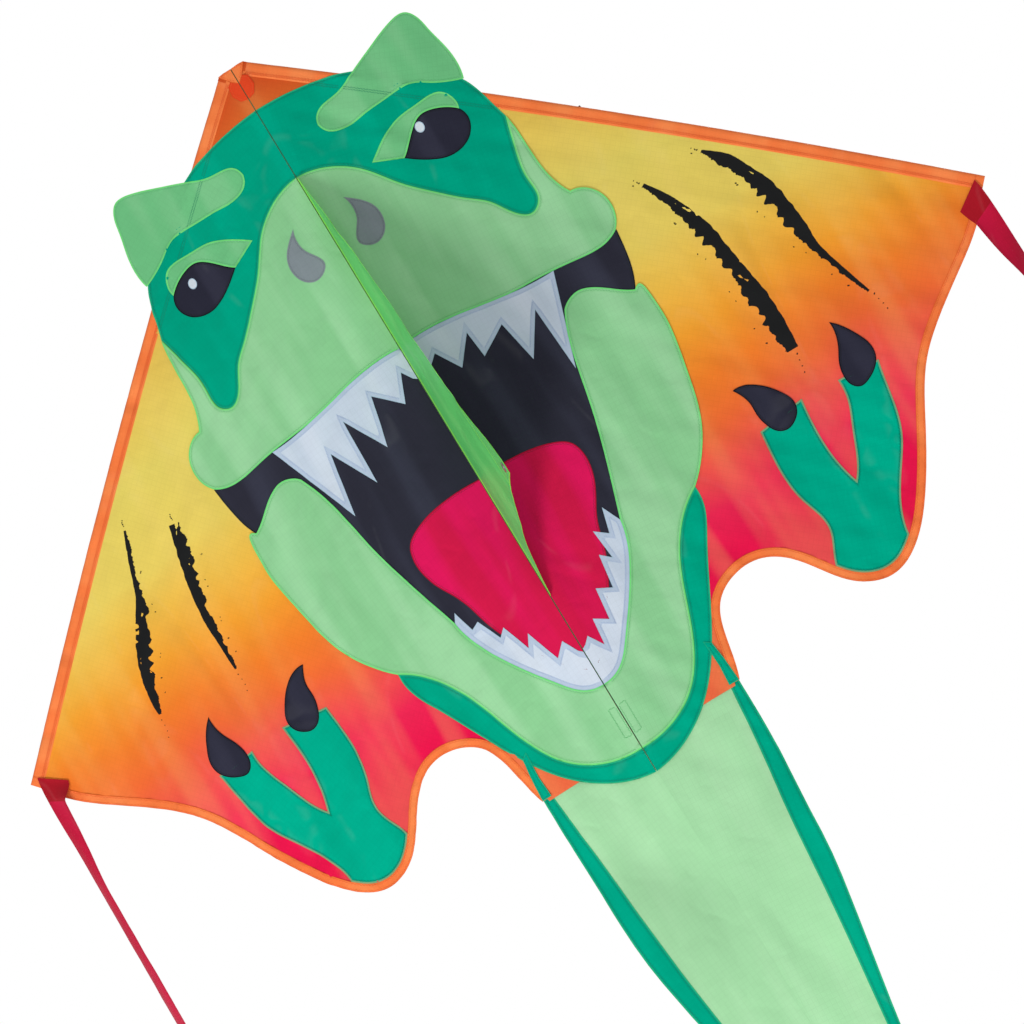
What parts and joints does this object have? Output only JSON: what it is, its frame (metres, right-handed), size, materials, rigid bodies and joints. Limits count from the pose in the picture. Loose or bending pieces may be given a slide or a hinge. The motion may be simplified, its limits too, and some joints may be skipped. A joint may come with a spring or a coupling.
{
  "type": "delta kite",
  "caption": "Single-line delta kite with a dinosaur face of sewn cloth, folding wings on a spine, a clip-in spreader, swinging keel with tow eyelet, tail and wing-tip streamers",
  "frame": {"origin": "centre of the tow eyelet's bore in the keel, half way through the doubled cloth", "axes": "+Z from tail to nose along the spine, front of the sail facing -Y, +X to the right seen from the front; +Y is the direction in which the kite is thin"},
  "size_m": [1.1587, 0.2409, 2.287],
  "materials": {
    "sail_cloth": "woven ripstop, printed yellow to red",
    "edge_binding": "orange ripstop, folded and stitched",
    "carbon_rod": "pultruded glass fibre, dark",
    "end_vinyl": "soft vinyl",
    "connector_vinyl": "moulded vinyl tube",
    "dark_green_cloth": "ripstop, dark green",
    "hand_green_cloth": "ripstop, sea green",
    "light_green_cloth": "ripstop, light green",
    "mouth_cloth": "ripstop, near black",
    "tongue_cloth": "ripstop, crimson with darker stripes",
    "tooth_cloth": "ripstop, pale blue-white",
    "black_cloth": "ripstop, purple-black",
    "nostril_cloth": "ripstop, grey",
    "keel_cloth": "ripstop, green",
    "streamer_cloth": "ripstop ribbon, crimson",
    "hook_tape": "hook-and-loop tape",
    "nose_webbing": "woven webbing, orange-red",
    "eyelet_metal": "pressed, satin"
  },
  "bodies": {
    "spine": {"spine_rod": "carbon_rod", "spine_nose_cap": "end_vinyl", "spine_foot_cap": "end_vinyl", "spine_sleeve": "edge_binding", "nose_patch": "nose_webbing", "closure_patch": "hook_tape"},
    "left_wing": {"left_sail_panel": "sail_cloth", "left_leading_spar": "carbon_rod", "left_spar_caps": "end_vinyl", "left_leading_sleeve": "edge_binding", "left_trailing_hem": "edge_binding", "left_spreader_connector": "connector_vinyl", "left_crown": "dark_green_cloth", "left_horn": "light_green_cloth", "left_eyelid": "light_green_cloth", "left_eye": "black_cloth", "left_snout": "light_green_cloth", "left_nostril": "nostril_cloth", "left_upper_teeth": "tooth_cloth", "left_mouth_lining": "mouth_cloth", "left_tongue": "tongue_cloth", "left_lower_teeth": "tooth_cloth", "left_lower_jaw": "light_green_cloth", "left_chin_band": "dark_green_cloth", "left_hand": "hand_green_cloth", "left_claws": "black_cloth"},
    "right_wing": {"right_sail_panel": "sail_cloth", "right_leading_spar": "carbon_rod", "right_spar_caps": "end_vinyl", "right_leading_sleeve": "edge_binding", "right_trailing_hem": "edge_binding", "right_spreader_connector": "connector_vinyl", "right_crown": "dark_green_cloth", "right_horn": "light_green_cloth", "right_eyelid": "light_green_cloth", "right_eye": "black_cloth", "right_snout": "light_green_cloth", "right_nostril": "nostril_cloth", "right_upper_teeth": "tooth_cloth", "right_mouth_lining": "mouth_cloth", "right_tongue": "tongue_cloth", "right_lower_teeth": "tooth_cloth", "right_lower_jaw": "light_green_cloth", "right_chin_band": "dark_green_cloth", "right_hand": "hand_green_cloth", "right_claws": "black_cloth"},
    "keel": {"keel_panel": "keel_cloth", "keel_patch": "keel_cloth", "tow_eyelet": "eyelet_metal"},
    "spreader": {"spreader_rod": "carbon_rod", "spreader_end_caps": "end_vinyl"},
    "left_tail": {"left_tail_panel": "light_green_cloth", "left_tail_band": "dark_green_cloth"},
    "right_tail": {"right_tail_panel": "light_green_cloth", "right_tail_band": "dark_green_cloth"},
    "left_streamer": {"left_streamer": "streamer_cloth"},
    "right_streamer": {"right_streamer": "streamer_cloth"},
    "closure_flap": {"closure_flap": "hook_tape"}
  },
  "joints": [
    {"name": "left_wing_fold", "type": "hinge", "parent": "spine", "child": "left_wing", "pos_m": [-0.04635, 0.14266, 0], "axis": [0, 0, 1], "range_deg": [0, 55]},
    {"name": "right_wing_fold", "type": "hinge", "parent": "spine", "child": "right_wing", "pos_m": [-0.04635, 0.14266, 0], "axis": [0, 0, -1], "range_deg": [0, 55]},
    {"name": "keel_swing", "type": "hinge", "parent": "spine", "child": "keel", "pos_m": [-0.04635, 0.14266, 0], "axis": [0, 0, 1], "range_deg": [-40, 4]},
    {"name": "spreader_release", "type": "slide", "parent": "spine", "child": "spreader", "axis": [0, 1, 0], "range_m": [0, 0.08]},
    {"name": "left_tail_swing", "type": "hinge", "parent": "left_wing", "child": "left_tail", "pos_m": [-0.04635, 0.15666, -0.277], "axis": [1, 0, 0], "range_deg": [0, 80]},
    {"name": "right_tail_swing", "type": "hinge", "parent": "right_wing", "child": "right_tail", "pos_m": [-0.04635, 0.15666, -0.277], "axis": [1, 0, 0], "range_deg": [0, 80]},
    {"name": "left_streamer_swing", "type": "hinge", "parent": "left_wing", "child": "left_streamer", "pos_m": [-0.60379, 0.22161, 0.003], "axis": [0.9903, -0.1392, 0], "range_deg": [0, 80]},
    {"name": "right_streamer_swing", "type": "hinge", "parent": "right_wing", "child": "right_streamer", "pos_m": [0.51108, 0.22161, 0.003], "axis": [0.9903, 0.1392, 0], "range_deg": [0, 80]},
    {"name": "closure_flap_fold", "type": "hinge", "parent": "spine", "child": "closure_flap", "pos_m": [-0.04635, 0.15256, -0.264], "axis": [-1, 0, 0], "range_deg": [0, 90]}
  ],
  "couplings": [
    {"joint": "right_wing_fold", "follows": "left_wing_fold", "ratio": 1},
    {"joint": "right_tail_swing", "follows": "left_tail_swing", "ratio": 1}
  ]
}
